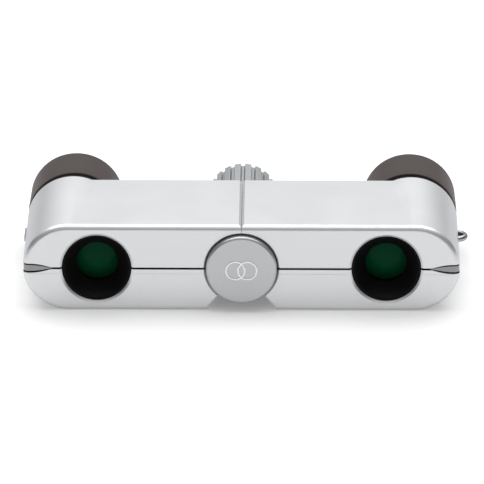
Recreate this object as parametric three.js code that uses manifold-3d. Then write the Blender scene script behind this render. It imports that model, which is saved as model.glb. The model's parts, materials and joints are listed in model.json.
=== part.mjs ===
// Slim pocket binoculars with a centre hinge, roof prisms and a rear focus wheel, in millimetres, +Z up.
// Design frame: x = 0 and z = hingeZ on the hinge axis, y = 0 on the front face, z = 0 on the flat underside.
// The front, where the objectives look out, faces -Y, and the eyepieces stand out towards +Y.
import * as THREE from 'three';
import { mergeVertices } from 'three/addons/utils/BufferGeometryUtils.js';
import Module from 'manifold-3d';

const wasm = await Module();
wasm.setup();

// ---- Overall sizes
const bodyThickness = 19.1; // flat top to flat underside
const bodyDepth = 27; // front face to rear face
const bodyHalfWidth = 45.95; // hinge axis to the side of one half, at the front
const rearFlare = 0.15; // how much further out the side lies at the rear rim
const frontFillet = 1.15; // rounding of the front edges
const shellWall = 1.3;
const eyepieceSpacing = 72; // at the widest setting
const objectiveSpacing = 60.9;
const foldAngle = THREE.MathUtils.degToRad(36); // each half turns this far down about the hinge

// ---- Gaps and clearances
const gap = 0.3; // between pieces that meet
const runningClearance = 0.2; // between pieces that turn or slide on each other
const seamGap = 0.24; // visible line between the upper and lower shells
const halfGap = 0.12; // each half's inner edge to the middle plane

// ---- Heights
const hingeZ = bodyThickness / 2;
const seamDrop = 0.05; // from the hinge axis down to the seam
const rearRise = 0.4; // the shells' round end at the rear stands a little above the flat top
const eyepieceRise = 0.55; // from the hinge axis up to the eyepieces' axes
const seamZ = hingeZ - seamDrop;
const rearEndRadius = bodyThickness / 2 + rearRise;
const rearEndZ = rearEndRadius;
const rearHalfWidth = bodyHalfWidth + rearFlare;
const eyepieceX = eyepieceSpacing / 2;
const eyepieceZ = hingeZ + eyepieceRise;
const objectiveX = objectiveSpacing / 2;
const objectiveZ = seamZ;

// ---- Hinge, front cap and notch
const capRadius = 7.5;
const capProud = 1.2;
const capDepth = 1.7; // how far the cap sinks behind the front face
const capRound = 0.6;
const hingeClearRadius = capRadius + 0.3;
const knuckleRadius = capRadius - 0.3;
const knuckleHalfHeight = 4.6; // of the bars that join the knuckles to the chassis
const knuckleReach = 13; // hinge axis to the far end of those bars
const tubeRadius = 5;
const tubeBore = 3.4;
const tubeSetback = 0.4; // of the tube's shoulder, in from the rear face
const axleRadius = 3; // thin rear end of the tube, which carries the focus wheel
const notchHalfWidth = 7.5; // of the opening under the hinge, at the underside
const notchMargin = THREE.MathUtils.degToRad(0.7); // left between the halves when fully folded
const topChamfer = 0.6; // along the top inner edges
const washerThickness = 0.4;
const nutThickness = 1.2;

// ---- Focus drive
const wheelRadius = 7.5;
const wheelTeeth = 20;
const wheelToothHeight = 0.5;
const wheelLength = 15.2;
const wheelGap = 0.6; // from the rear face to the wheel
const wheelRecess = 0.9;
const wheelEndWall = 3.5; // solid end of the wheel, behind the axle
const screwRadius = 1.5;
const sliderRadius = tubeBore - runningClearance - 0.1;
const sliderNeck = 2;
const armThickness = 1.6;
const armWidth = 1.3;
const armSpacing = 1.7; // between the middles of the two arms, along the hinge
const armForward = 0.7; // of the arms, from the middle of the hinge tube
const armFootLength = 3; // of the wide foot beside the cell, across the half
const focusTravel = 1.05; // of the objectives, each way from rest
const sliderHead = 1.2; // solid front end of the slider
const threadDepth = 4; // of the slider's tapped hole
const screwSetback = 1.4; // from the tapped hole's bottom to the focus screw's tip
const sliderRoom = 0.95; // behind the slider at the end of its travel

// ---- Objectives
const hoodRadius = 7.3;
const hoodSetback = 0.8;
const hoodDepth = 5.3; // back of the hood, behind the front face
const hoodLip = 0.35;
const apertureRadius = 4.5;
const mouthBevel = 0.35;
const cellRadius = 6.4;
const cellStart = 6.5;
const armFoot = 7.7; // front of the arm, beside the cell
const cellLength = 4;
const objectiveRadius = 5.1;

// ---- Prisms
const prismRoom = 1.05; // behind the objective cell at the end of its travel
const frontPrismDepth = 4.4;
const roofPrismDepth = 4.9;
const prismHeight = 11;
const prismInset = 5.4; // objective axis to the prisms' inner side
const roofShift = 3; // of the roof's ridge, back from where its two faces would fill the prism

// ---- Eyepieces
const barrelBore = 7.4;
const barrelWall = 0.8;
const barrelSink = 4; // how far the barrel reaches in from the rear face
const barrelReach = 9.8; // and out from it
const ringInset = 0.4; // dioptre ring on the right, plain base ring on the left, inside the eyecup's outline
const ringWidth = 0.9;
const sleeveWall = 0.55;
const eyecupWall = 0.95;
const eyecupTaper = 0.1;
const eyecupRound = 0.8;
const eyecupReach = 14.3; // rear face to the eyecup's rim
const eyecupLip = 2.6;
const eyecupMouth = barrelBore + 0.3;
const eyepieceWall = 0.6;
const dioptreTravel = 0.4; // of the right eyepiece, each way from rest

// ---- Trim
const bandHalfHeight = 0.8;
const bandLength = 6.55; // from the side to where the band runs out to a point on the front face
const bandTaper = 5; // from that point to where it has its full height
const bandSetback = 0.12;
const lugFromRear = 7.8;
const lugHalfHeight = 0.5; // of the lug's foot
const lugWire = 1;
const lugLoop = 1.85; // middle radius of the wire loop
const plateReach = 0.35; // how far the left blanking plate stands out
const screwHeadRadius = 1.5;
const screwHeadDepth = 0.9;
const screwShank = 0.8;
const screwLength = 6;
const bossRadius = 2.6;
const bossHeight = 2.4;
const screwPlaces = [[14, 5.5], [17, bodyDepth - 6.5]];

const roundSegments = 32;
const innerSegments = 20;
const hingeSegments = 32;
const smallSegments = 12;
const filletSteps = 2;
const lensSteps = 2;

// ---- Values that follow from the sizes above
const tubeStart = capDepth + gap;
const tubeEnd = bodyDepth - tubeSetback;
const armStation = (tubeStart + tubeEnd) / 2 - armForward;
const armHalfSpan = (armSpacing + armWidth) / 2;
const windowHalfLength = armHalfSpan + focusTravel + runningClearance;
const threadStart = armStation + windowHalfLength + 1;
const sliderEnd = threadStart + threadDepth;
const chassisInset = shellWall + gap;
const prismStart = cellStart + cellLength + focusTravel + prismRoom;
const prismEnd = prismStart + frontPrismDepth + gap + roofPrismDepth;
const prismLeft = objectiveX - prismInset;
const barrelStart = bodyDepth - barrelSink;
const barrelEnd = bodyDepth + barrelReach;
const eyecupEnd = bodyDepth + eyecupReach;
const wheelStart = bodyDepth + wheelGap;
const wheelEnd = wheelStart + wheelLength;
const axleEnd = wheelEnd - wheelEndWall;
const ringStart = bodyDepth + gap;
const eyecupStart = ringStart + ringWidth + gap;
const barrelRadius = barrelBore + barrelWall;
const sleeveBore = barrelRadius + runningClearance;
const sleeveRadius = sleeveBore + sleeveWall;
const sleeveEnd = eyecupEnd - eyecupLip - 1.1;
const eyecupBore = sleeveRadius + runningClearance;
const eyecupRadius = eyecupBore + eyecupWall;
const eyecupEndRadius = eyecupRadius - eyecupTaper;
const ringRadius = eyecupRadius - ringInset;
const lugY = bodyDepth - lugFromRear;
const bandTip = bodyHalfWidth - bandLength;
const bandFull = bandTip + bandTaper;
const knuckleTop = bodyDepth - nutThickness - 2 * gap - 2 * washerThickness - shellWall / 2;

// ---------------------------------------------------------------- shape helpers

function manifoldOf(geometry) {
  const bare = geometry.clone();
  bare.deleteAttribute('normal');
  bare.deleteAttribute('uv');
  const merged = mergeVertices(bare.index ? bare.toNonIndexed() : bare, 1e-4);
  const triangles = [];
  const index = merged.index.array;
  for (let i = 0; i < index.length; i += 3) {
    const [a, b, c] = [index[i], index[i + 1], index[i + 2]];
    if (a !== b && b !== c && c !== a) triangles.push(a, b, c);
  }
  return new wasm.Manifold(new wasm.Mesh({
    numProp: 3,
    vertProperties: merged.attributes.position.array,
    triVerts: new Uint32Array(triangles),
  }));
}

function geometryOf(manifold) {
  const mesh = manifold.getMesh();
  const positions = new Float32Array(mesh.numVert * 3);
  for (let i = 0; i < mesh.numVert; i++) {
    const start = i * mesh.numProp;
    positions.set(mesh.vertProperties.subarray(start, start + 3), i * 3);
  }
  const geometry = new THREE.BufferGeometry();
  geometry.setAttribute('position', new THREE.BufferAttribute(positions, 3));
  geometry.setIndex(new THREE.BufferAttribute(mesh.triVerts, 1));
  return geometry;
}

// A solid turned about an axis along Y through (x, z); the profile is [radius, y] points.
function turned(profile, { x = 0, z = 0, segments = roundSegments } = {}) {
  const points = profile.map(([r, y]) => new THREE.Vector2(r, y));
  if (THREE.ShapeUtils.area(points) < 0) points.reverse();
  if (points[0].x > 0 || points.at(-1).x > 0) points.push(points[0].clone());
  return manifoldOf(new THREE.LatheGeometry(points, segments).translate(x, 0, z));
}

function rod(radius, y0, y1, place = {}) {
  return turned([[0, y0], [radius, y0], [radius, y1], [0, y1]], place);
}

function tube(outer, inner, y0, y1, place = {}) {
  return turned([[inner, y0], [outer, y0], [outer, y1], [inner, y1]], place);
}

function box(x0, x1, y0, y1, z0, z1) {
  const geometry = new THREE.BoxGeometry(x1 - x0, y1 - y0, z1 - z0);
  return manifoldOf(geometry.translate((x0 + x1) / 2, (y0 + y1) / 2, (z0 + z1) / 2));
}

const across = new THREE.Matrix4().makeBasis(
  new THREE.Vector3(1, 0, 0), new THREE.Vector3(0, 0, 1), new THREE.Vector3(0, -1, 0));
const sideways = new THREE.Matrix4().makeBasis(
  new THREE.Vector3(0, 1, 0), new THREE.Vector3(0, 0, 1), new THREE.Vector3(1, 0, 0));

// An outline drawn in x and z, given depth from y0 to y1.
function plateAlongY(shape, y0, y1, curveSegments = 8) {
  const geometry = new THREE.ExtrudeGeometry(shape, { depth: y1 - y0, bevelEnabled: false, curveSegments });
  return manifoldOf(geometry.applyMatrix4(across).translate(0, y1, 0));
}

// An outline drawn in x and y, given height from z0 to z1.
function plateAlongZ(shape, z0, z1, curveSegments = 8) {
  const geometry = new THREE.ExtrudeGeometry(shape, { depth: z1 - z0, bevelEnabled: false, curveSegments });
  return manifoldOf(geometry.translate(0, 0, z0));
}

function polygon(points) {
  return new THREE.Shape(points.map(([a, b]) => new THREE.Vector2(a, b)));
}

function arcPoints(cx, cy, radius, from, to, steps) {
  const points = [];
  for (let i = 0; i <= steps; i++) {
    const angle = from + (to - from) * i / steps;
    points.push([cx + radius * Math.cos(angle), cy + radius * Math.sin(angle)]);
  }
  return points;
}

// ---------------------------------------------------------------- materials

function material(color, roughness, metalness) {
  return new THREE.MeshStandardMaterial({ color, roughness, metalness });
}

const silver = material(0xd3d5d7, 0.35, 0.6);
const steel = material(0xb4b6b8, 0.25, 0.9);
const black = material(0x161616, 0.7, 0);
const trim = material(0x8d8f91, 0.45, 0.4);
const rubber = material(0x4a4342, 0.75, 0);
const brass = material(0xb59a52, 0.35, 0.9);
const glass = material(0x0d4a2c, 0.05, 0);

function node(name, manifold, finish) {
  const mesh = new THREE.Mesh(geometryOf(manifold), finish);
  mesh.name = name;
  return mesh;
}

// ---------------------------------------------------------------- outer form of one half

// The right half's outer form, taken in by inset on every side: a slab with a round end that grows
// from half the slab's thickness at the front to the rear end's own radius.
function halfForm(inset) {
  const fillet = Math.max(frontFillet - inset, 0.05);
  const y0 = inset;
  const y1 = bodyDepth - inset;
  const z0 = inset;
  const z1 = bodyThickness - inset;
  const frontRadius = bodyThickness / 2;
  const frontX = bodyHalfWidth - frontRadius;
  const rearX = rearHalfWidth - rearEndRadius;
  const quarter = Math.PI / 2;
  const section = polygon([
    ...arcPoints(y0 + fillet, z0 + fillet, fillet, 3 * quarter, 2 * quarter, filletSteps),
    ...arcPoints(y0 + fillet, z1 - fillet, fillet, 2 * quarter, quarter, filletSteps),
    [y1, z1], [y1, z0],
  ].reverse());
  const slab = new THREE.ExtrudeGeometry(section, { depth: frontX + inset, bevelEnabled: false });
  slab.applyMatrix4(sideways).translate(-inset, 0, 0);
  const rearRadius = y => frontRadius + (rearEndRadius - frontRadius) * y / bodyDepth - inset;
  const profile = [
    [0, y0],
    ...arcPoints(rearRadius(y0) - fillet, y0 + fillet, fillet, -quarter, 0, filletSteps),
    [rearRadius(y1), y1],
    [0, y1],
  ];
  const points = profile.map(([r, y]) => new THREE.Vector2(r, y));
  const end = new THREE.LatheGeometry(points, roundSegments);
  end.applyMatrix4(new THREE.Matrix4().makeShear(
    0, 0, (rearX - frontX) / bodyDepth, (rearEndZ - frontRadius) / bodyDepth, 0, 0));
  end.translate(frontX, 0, frontRadius);
  return manifoldOf(slab).add(manifoldOf(end));
}

const hingeCentre = { x: 0, z: hingeZ };
const objectivePlace = { x: objectiveX, z: objectiveZ };
const eyepiecePlace = { x: eyepieceX, z: eyepieceZ };
const innerHinge = { ...hingeCentre, segments: hingeSegments };
const innerObjective = { ...objectivePlace, segments: innerSegments };
const innerEyepiece = { ...eyepiecePlace, segments: innerSegments };

// The opening under the hinge. Its corner lies on the hinge's clearance circle, just past the fold angle.
function notch(grow) {
  const angle = foldAngle + notchMargin;
  const cornerX = hingeClearRadius * Math.sin(angle) + grow;
  const cornerZ = hingeZ - hingeClearRadius * Math.cos(angle);
  const slope = (notchHalfWidth + grow - cornerX) / cornerZ;
  return plateAlongY(polygon([
    [-1, -1], [notchHalfWidth + grow + slope, -1], [cornerX, cornerZ], [-1, cornerZ + 1],
  ]), -2, bodyDepth + 2);
}

// The pointed strip between the shells, seen from the front, taken straight back through the half.
function bandForm(grow) {
  const shape = new THREE.Shape();
  const top = seamZ + bandHalfHeight + grow;
  const bottom = seamZ - bandHalfHeight - grow;
  const middle = (bandTip + bandFull) / 2;
  shape.moveTo(bandTip - grow, seamZ);
  shape.quadraticCurveTo(middle, bottom, bandFull, bottom);
  shape.lineTo(bodyHalfWidth + 3, bottom);
  shape.lineTo(bodyHalfWidth + 3, top);
  shape.lineTo(bandFull, top);
  shape.quadraticCurveTo(middle, top, bandTip - grow, seamZ);
  return plateAlongY(shape, -1, bodyDepth + 1, 6);
}

const outerForm = halfForm(0);
const cavity = halfForm(shellWall);
const barrelHole = rod(barrelRadius + gap, bodyDepth - shellWall - 1, bodyDepth + 1, eyepiecePlace);
const far = 60;

function mouthCut() {
  const radius = hoodRadius + gap;
  return turned([
    [0, -1], [radius + mouthBevel + 1, -1], [radius, mouthBevel], [radius, shellWall + 1], [0, shellWall + 1],
  ], objectivePlace);
}

function shellBlank() {
  return outerForm
    .subtract(cavity)
    .subtract(rod(hingeClearRadius, -1, bodyDepth + 1, hingeCentre))
    .subtract(mouthCut())
    .subtract(barrelHole)
    .subtract(bandForm(seamGap / 2));
}

function upperShell() {
  const chamfer = plateAlongY(polygon([
    [halfGap - 1, bodyThickness - topChamfer - 1],
    [halfGap + topChamfer + 1, bodyThickness + 1],
    [halfGap - 1, bodyThickness + 1],
  ]), -1, bodyDepth + 1);
  return shellBlank()
    .intersect(box(halfGap, far, -1, bodyDepth + 1, seamZ + seamGap / 2, far))
    .subtract(chamfer);
}

function screwAt([x, y]) {
  return turnedUpright([
    [0, gap / 2], [screwHeadRadius, gap / 2], [screwHeadRadius, screwHeadDepth],
    [screwShank, screwHeadDepth + 0.3], [screwShank, screwLength], [0, screwLength],
  ], x, y);
}

// A solid turned about an upright axis through (x, y); the profile is [radius, z] points.
function turnedUpright(profile, x, y) {
  const points = profile.map(([r, z]) => new THREE.Vector2(r, z));
  if (THREE.ShapeUtils.area(points) < 0) points.reverse();
  const geometry = new THREE.LatheGeometry(points, smallSegments).rotateX(Math.PI / 2);
  return manifoldOf(geometry.translate(x, y, 0));
}

function screwClearance([x, y]) {
  return turnedUpright([
    [0, -1], [screwHeadRadius + gap, -1], [screwHeadRadius + gap, screwHeadDepth + gap / 2],
    [screwShank + gap, screwHeadDepth + gap], [screwShank + gap, screwLength + gap], [0, screwLength + gap],
  ], x, y);
}

function screw(place) {
  const [x, y] = place;
  const slotHalf = 0.2;
  const slotReach = 0.9;
  const slotDepth = 0.5;
  const slots = box(x - slotReach, x + slotReach, y - slotHalf, y + slotHalf, -1, slotDepth)
    .add(box(x - slotHalf, x + slotHalf, y - slotReach, y + slotReach, -1, slotDepth));
  return screwAt(place).subtract(slots);
}

function boss(radius, z0, z1, [x, y]) {
  return turnedUpright([[0, z0], [radius, z0], [radius, z1], [0, z1]], x, y);
}

function lowerShell() {
  let shell = shellBlank()
    .intersect(box(halfGap, far, -1, bodyDepth + 1, -1, seamZ - seamGap / 2))
    .subtract(notch(0));
  for (const place of screwPlaces) {
    // a boss under each screw, so that its head has something to seat on
    shell = shell.add(boss(bossRadius, shellWall / 2, bossHeight, place)).subtract(screwClearance(place));
  }
  return shell;
}

// ---------------------------------------------------------------- inside one half

function knuckleSpans(side) {
  // four knuckles stacked along the hinge, two to each half, with the arms' window between them
  const first = tubeStart + washerThickness + gap;
  const frontEnd = armStation - windowHalfLength - gap;
  const rearStart = armStation + windowHalfLength + gap;
  const frontMiddle = (first + frontEnd) / 2;
  const rearMiddle = (rearStart + knuckleTop) / 2;
  return side === 'left'
    ? [[first, frontMiddle - gap / 2], [rearStart, rearMiddle - gap / 2]]
    : [[frontMiddle + gap / 2, frontEnd], [rearMiddle + gap / 2, knuckleTop]];
}

function chassis(side) {
  let frame = halfForm(chassisInset)
    .intersect(box(gap, far, 0, bodyDepth, 0, far))
    .subtract(rod(hingeClearRadius, 0, bodyDepth, innerHinge))
    .subtract(notch(chassisInset))
    .subtract(box(0, hingeClearRadius + 2 * gap, 0, bodyDepth, -1, far));
  for (const [y0, y1] of knuckleSpans(side)) {
    const eye = rod(knuckleRadius, y0, y1, innerHinge)
      .add(box(0, knuckleReach, y0, y1, hingeZ - knuckleHalfHeight, hingeZ + knuckleHalfHeight));
    frame = frame.add(eye);
  }
  frame = frame
    .subtract(rod(tubeRadius + runningClearance, 0, bodyDepth, innerHinge))
    .subtract(rod(hoodRadius + gap, 0, hoodDepth + gap, innerObjective))
    .subtract(rod(cellRadius + gap, hoodDepth, cellStart + cellLength + focusTravel + gap, innerObjective))
    .subtract(rod(apertureRadius + gap, hoodDepth, prismStart, innerObjective))
    .subtract(box(prismLeft - 0.65, far, prismStart - gap, prismEnd + gap,
      objectiveZ - prismHeight / 2 - gap, objectiveZ + prismHeight / 2 + gap))
    .subtract(rod(barrelRadius + 0.55, prismEnd, bodyDepth, innerEyepiece)) // room to slip the barrel in
    .subtract(box(tubeRadius - 1, objectiveX, armFoot - focusTravel - gap, armStation + windowHalfLength,
      hingeZ - armThickness / 2 - gap, hingeZ + armThickness / 2 + gap));
  for (const place of screwPlaces) {
    frame = frame
      .subtract(screwClearance(place))
      .subtract(boss(bossRadius + gap, 0, bossHeight + gap, place));
  }
  return frame;
}

function sideBand() {
  const outer = halfForm(bandSetback).subtract(cavity);
  return outer
    .intersect(bandForm(-seamGap / 2))
    .subtract(barrelHole)
    .subtract(mouthCut())
    .subtract(lugBase(gap));
}

// The seat of the strap lug, and of the plate that fills the same place on the other half.
function lugBase(grow) {
  const half = lugLoop + lugWire;
  return box(bodyHalfWidth - 0.75 - grow, bodyHalfWidth + 1, lugY - half - grow, lugY + half + grow,
    seamZ - lugHalfHeight - grow, seamZ + lugHalfHeight + grow);
}

function strapLug() {
  const ring = new THREE.TorusGeometry(lugLoop, lugWire / 2, 8, 24);
  const wire = manifoldOf(ring.translate(rearHalfWidth - gap, lugY, seamZ));
  return wire
    .intersect(box(bodyHalfWidth, far, 0, bodyDepth, 0, far))
    .add(lugBase(0).intersect(box(0, rearHalfWidth, 0, bodyDepth, 0, far)));
}

function blankingPlate() {
  return lugBase(0).intersect(box(0, rearHalfWidth + plateReach, 0, bodyDepth, 0, far));
}

function objectiveHood() {
  return turned([
    [hoodRadius - hoodLip, hoodSetback],
    [hoodRadius, hoodSetback],
    [hoodRadius, hoodDepth],
    [apertureRadius, hoodDepth],
    [apertureRadius, hoodDepth - 0.4],
  ], objectivePlace);
}

// A lens with two bulging faces and a straight rim.
function lens(radius, y0, y1, frontBulge, rearBulge, place) {
  const face = (rimY, bulge) => {
    const points = [];
    for (let i = 0; i <= lensSteps; i++) {
      const r = radius * i / lensSteps;
      points.push([r, rimY - bulge * (1 - (r / radius) ** 2)]);
    }
    return points;
  };
  return turned([...face(y0 + frontBulge, frontBulge), ...face(y1 - rearBulge, -rearBulge).reverse()], place);
}

function focusArm(side) {
  const offset = side === 'left' ? -armSpacing / 2 : armSpacing / 2;
  const y0 = armStation + offset - armWidth / 2;
  const y1 = armStation + offset + armWidth / 2;
  const z0 = hingeZ - armThickness / 2;
  const z1 = hingeZ + armThickness / 2;
  const end = objectiveX - cellRadius - gap;
  const plate = plateAlongZ(polygon([
    [sliderNeck + gap, y0], [end - armFootLength, y0], [end - armFootLength, armFoot], [end, armFoot],
    [end, y1], [sliderNeck + gap, y1],
  ]), z0, z1);
  return plate
    .add(rod(sliderRadius, y0, y1, { ...hingeCentre, segments: smallSegments }))
    .subtract(rod(sliderNeck + runningClearance, y0 - 1, y1 + 1, { ...hingeCentre, segments: smallSegments }));
}

function frontPrism() {
  const rear = prismStart + frontPrismDepth;
  return plateAlongZ(polygon([
    [prismLeft, prismStart], [objectiveX + 5, prismStart], [objectiveX + 9.4, rear], [prismLeft + 1.6, rear],
  ]), objectiveZ - prismHeight / 2, objectiveZ + prismHeight / 2);
}

// The second prism ends in a roof: two faces at a right angle that meet in a ridge along X.
function roofPrism() {
  const front = prismStart + frontPrismDepth + gap;
  const half = prismHeight / 2;
  const body = plateAlongZ(polygon([
    [objectiveX - 3.6, front], [objectiveX + 9.7, front], [eyepieceX + 5.2, prismEnd], [eyepieceX - 6.6, prismEnd],
  ]), objectiveZ - half, objectiveZ + half);
  const roof = new THREE.BoxGeometry(far, prismHeight, prismHeight);
  roof.rotateX(Math.PI / 4).translate(objectiveX, prismEnd - half * Math.SQRT2 + roofShift, objectiveZ);
  return body.intersect(manifoldOf(roof));
}

function eyecup() {
  const rimY = eyecupEnd - eyecupRound;
  return turned([
    [eyecupBore, eyecupStart],
    [eyecupRadius - 0.25, eyecupStart],
    [eyecupRadius, eyecupStart + 0.25],
    ...arcPoints(eyecupEndRadius - eyecupRound, rimY, eyecupRound, 0, Math.PI / 2, filletSteps),
    [eyecupMouth + 0.6, eyecupEnd],
    [eyecupMouth, rimY],
    [eyecupMouth, eyecupEnd - eyecupLip],
    [eyecupBore, eyecupEnd - eyecupLip],
  ], eyepiecePlace);
}

// ---------------------------------------------------------------- one half, put together

const nodesOf = { left: [], right: [] };

function half(side) {
  const pieces = new THREE.Group();
  const add = (name, manifold, finish) => pieces.add(node(`${side}_${name}`, manifold, finish));
  const eyepieceStart = barrelStart + dioptreTravel + 0.5;
  const eyepieceEnd = barrelEnd - dioptreTravel - runningClearance;
  const eyepieceRadius = barrelBore - runningClearance;
  const lensRadius = eyepieceRadius - eyepieceWall - 0.2;

  add('upper_shell', upperShell(), silver);
  add('lower_shell', lowerShell(), silver);
  add('chassis', chassis(side), black);
  add('side_band', sideBand(), trim);
  add('objective_hood', objectiveHood(), black);
  add('front_prism', frontPrism(), glass);
  add('roof_prism', roofPrism(), glass);
  add('eyepiece_barrel', tube(barrelRadius, barrelBore, barrelStart, barrelEnd, innerEyepiece), black);
  add('shell_screw_front', screw(screwPlaces[0]), steel);
  add('shell_screw_rear', screw(screwPlaces[1]), steel);

  add('focus_arm', focusArm(side), steel);
  add('objective_cell', tube(cellRadius, objectiveRadius + 0.2, cellStart, cellStart + cellLength,
    innerObjective), black);
  add('objective_lens', lens(objectiveRadius, cellStart + 0.2, cellStart + 3.2, 0.7, 0.5, innerObjective), glass);

  add('eyepiece_cell', tube(eyepieceRadius, eyepieceRadius - eyepieceWall, eyepieceStart, eyepieceEnd,
    innerEyepiece), black);
  add('field_lens', lens(lensRadius, eyepieceStart + 0.8, eyepieceStart + 3.6, 0.4, 0.7, innerEyepiece), glass);
  add('eye_lens', lens(lensRadius, eyepieceEnd - 4.6, eyepieceEnd - 1.4, 0.9, 0.5, innerEyepiece), glass);
  add('eye_lens_ring', tube(lensRadius, lensRadius - 0.9, eyepieceEnd - 1.1, eyepieceEnd - 0.3, innerEyepiece),
    black);

  add('cam_sleeve', tube(sleeveRadius, sleeveBore, eyecupStart, sleeveEnd, innerEyepiece), black);
  add('eyecup', eyecup(), rubber);
  return pieces;
}

const rightHalf = half('right');
rightHalf.add(node('right_strap_lug', strapLug(), steel));
rightHalf.add(node('right_dioptre_ring', tube(ringRadius, barrelRadius + gap, ringStart, ringStart + ringWidth,
  eyepiecePlace), black));

const leftHalf = half('left');
leftHalf.add(node('left_blanking_plate', blankingPlate(), steel));
leftHalf.add(node('left_base_ring', tube(ringRadius, barrelRadius + gap, ringStart, ringStart + ringWidth,
  eyepiecePlace), black));
leftHalf.scale.x = -1;

// ---------------------------------------------------------------- hinge and focus drive

function frontCap() {
  const edge = arcPoints(capRadius - capRound, capRound - capProud, capRound, -Math.PI / 2, 0, filletSteps);
  return turned([[0, -capProud], ...edge, [capRadius, capDepth], [0, capDepth]], hingeCentre);
}

// Where a half's focus arm reaches in through the hinge tube, from level down to the full fold.
function armWindow(sign) {
  const margin = Math.asin((armThickness / 2 + gap) / tubeBore);
  const low = -(foldAngle + margin);
  const reach = tubeRadius * 2;
  const shape = polygon([[0, hingeZ], ...arcPoints(0, hingeZ, reach, low, margin, 4)]
    .map(([x, z]) => [sign * x, z]));
  return plateAlongY(shape, armStation - windowHalfLength, armStation + windowHalfLength);
}

function hingeTube() {
  const step = sliderEnd + focusTravel + sliderRoom;
  return turned([
    [tubeBore, tubeStart], [tubeRadius, tubeStart], [tubeRadius, tubeEnd], [axleRadius, tubeEnd],
    [axleRadius, axleEnd], [screwRadius + runningClearance, axleEnd],
    [screwRadius + runningClearance, step], [tubeBore, step],
  ], innerHinge).subtract(armWindow(1)).subtract(armWindow(-1));
}

function washer(y0, outer) {
  return tube(outer, tubeRadius + gap, y0, y0 + washerThickness, innerHinge);
}

function focusWheel() {
  const shape = new THREE.Shape();
  const pitch = 2 * Math.PI / wheelTeeth;
  const root = wheelRadius - wheelToothHeight;
  for (let i = 0; i < wheelTeeth; i++) {
    const corners = [[-0.3, root], [-0.25, wheelRadius], [0.25, wheelRadius], [0.3, root]];
    corners.forEach(([share, radius], k) => {
      const angle = (i + 0.5 + share) * pitch;
      const [x, z] = [radius * Math.cos(angle), hingeZ + radius * Math.sin(angle)];
      if (i + k === 0) shape.moveTo(x, z);
      else shape.lineTo(x, z);
    });
  }
  const web = wheelEnd - wheelRecess;
  return plateAlongY(shape, wheelStart, wheelEnd)
    .subtract(rod(axleRadius + runningClearance, wheelStart - 1, axleEnd + gap, hingeCentre))
    .subtract(rod(screwRadius + 0.1, axleEnd, wheelEnd + 1, hingeCentre))
    .subtract(rod(wheelRadius - 1.9, web, wheelEnd + 1, hingeCentre));
}

function focusScrew() {
  return rod(screwRadius, threadStart + screwSetback, wheelEnd - wheelRecess, { ...hingeCentre, segments: smallSegments });
}

function focusSlider() {
  const frontNeck = armStation - armHalfSpan - gap;
  const rearNeck = armStation + armHalfSpan + gap;
  const threadRadius = screwRadius + 0.15;
  return turned([
    [0, frontNeck - sliderHead], [sliderRadius, frontNeck - sliderHead], [sliderRadius, frontNeck],
    [sliderNeck, frontNeck], [sliderNeck, rearNeck], [sliderRadius, rearNeck], [sliderRadius, sliderEnd],
    [threadRadius, sliderEnd],
    [threadRadius, threadStart], [0, threadStart],
  ], { ...hingeCentre, segments: smallSegments });
}

const centre = new THREE.Group();
centre.add(node('front_cap', frontCap(), silver));
centre.add(node('hinge_tube', hingeTube(), steel));
centre.add(node('front_washer', washer(tubeStart, knuckleRadius), brass));
centre.add(node('rear_washer', washer(knuckleTop + gap, knuckleRadius), brass));
centre.add(node('hinge_nut', tube(knuckleRadius - 0.4, tubeRadius + gap, knuckleTop + 2 * gap + washerThickness,
  knuckleTop + 2 * gap + washerThickness + nutThickness, innerHinge), steel));
centre.add(node('focus_wheel', focusWheel(), silver));
centre.add(node('wheel_end_plate', rod(wheelRadius - 1.9 - gap, wheelEnd - wheelRecess + gap, wheelEnd - 0.1,
  hingeCentre), silver));
centre.add(node('focus_screw', focusScrew(), brass));
centre.add(node('focus_slider', focusSlider(), steel));

// ---------------------------------------------------------------- the whole, on its own origin

// The origin is under the middle of the bounding box, at the height of the flat underside.
const rightReach = rearHalfWidth - gap + lugLoop + lugWire / 2;
const leftReach = rearHalfWidth + plateReach;
const design = new THREE.Group();
design.add(leftHalf, rightHalf, centre);
design.position.set(-(rightReach - leftReach) / 2, -(wheelEnd - capProud) / 2, 0);

const binoculars = new THREE.Group();
binoculars.add(design);
export default binoculars;
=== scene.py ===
# %% [markdown]
# # Slim pocket binoculars
# The mechanism is already designed: every hinge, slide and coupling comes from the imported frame.
# Here each visible piece gets its fine surface, piece by piece, as it would leave the workshop.

# %% Load the fixed frame
import json
import math

import bmesh
import bpy
from mathutils import Matrix, Vector


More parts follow.
